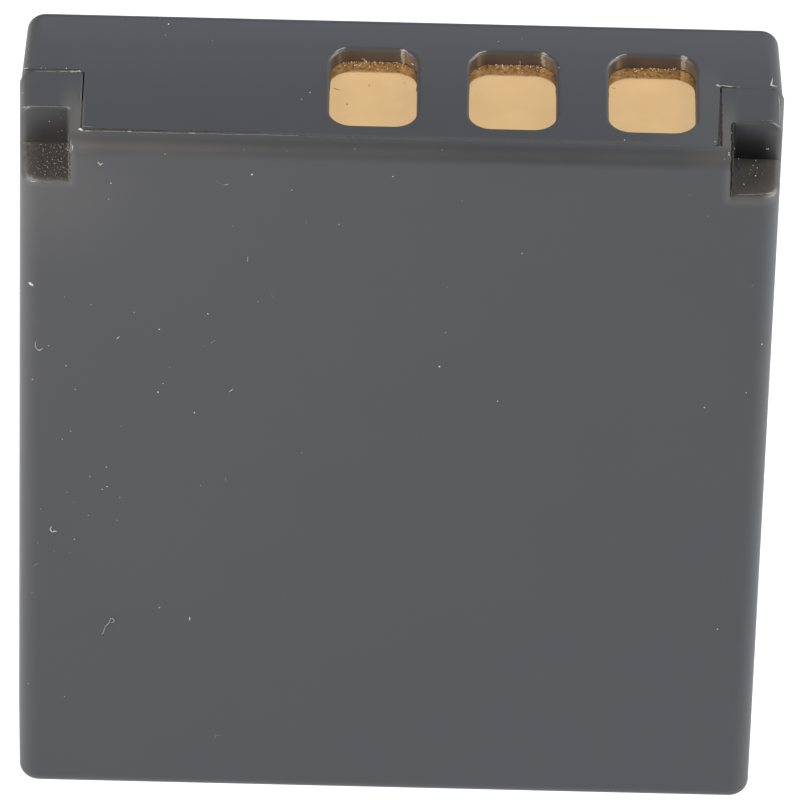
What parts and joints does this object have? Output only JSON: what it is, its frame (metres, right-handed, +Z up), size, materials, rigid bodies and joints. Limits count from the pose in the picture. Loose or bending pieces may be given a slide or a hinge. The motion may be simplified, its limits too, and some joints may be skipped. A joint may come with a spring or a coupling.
{
  "type": "camera battery",
  "caption": "Flat rechargeable camera battery pack: two welded plastic shells round a prismatic cell, with recessed gold contacts and corner guide notches at one end.",
  "frame": {"origin": "middle of the pack's bottom end, on the surface that it stands on", "axes": "+Z up towards the contact end, -Y out of the plain front face, +X to the right of someone who looks at the front face"},
  "size_m": [0.035, 0.0098, 0.0396],
  "materials": {
    "shell_plastic": "fine moulded matte, dark grey",
    "contact_gold": "bright gold plating",
    "cell_can": "drawn can",
    "gasket": "black moulding",
    "nickel": "nickel strip",
    "insulator_paper": "pressed paper",
    "cutoff_body": "moulded",
    "board_laminate": "green solder mask",
    "chip_body": "moulded",
    "ceramic_dark": "glazed",
    "ceramic_tan": "fired",
    "adhesive": "double-sided tape",
    "foam": "closed-cell foam"
  },
  "bodies": {
    "root": {"front_shell": "shell_plastic", "rear_shell": "shell_plastic", "contact_positive": "contact_gold", "contact_sense": "contact_gold", "contact_negative": "contact_gold", "cell": "cell_can", "cell_gasket": "gasket", "cell_terminal": "nickel", "fill_plug": "cell_can", "weld_plate": "nickel", "terminal_insulator": "insulator_paper", "positive_tab": "nickel", "link_tab": "nickel", "negative_tab": "nickel", "thermal_cutoff": "cutoff_body", "board": "board_laminate", "protection_chip": "chip_body", "switch_chip": "chip_body", "thermistor": "ceramic_dark", "chip_resistors": "ceramic_dark", "chip_capacitors": "ceramic_tan", "adhesive_front": "adhesive", "adhesive_rear": "adhesive", "foam_pad": "foam"}
  },
  "joints": []
}
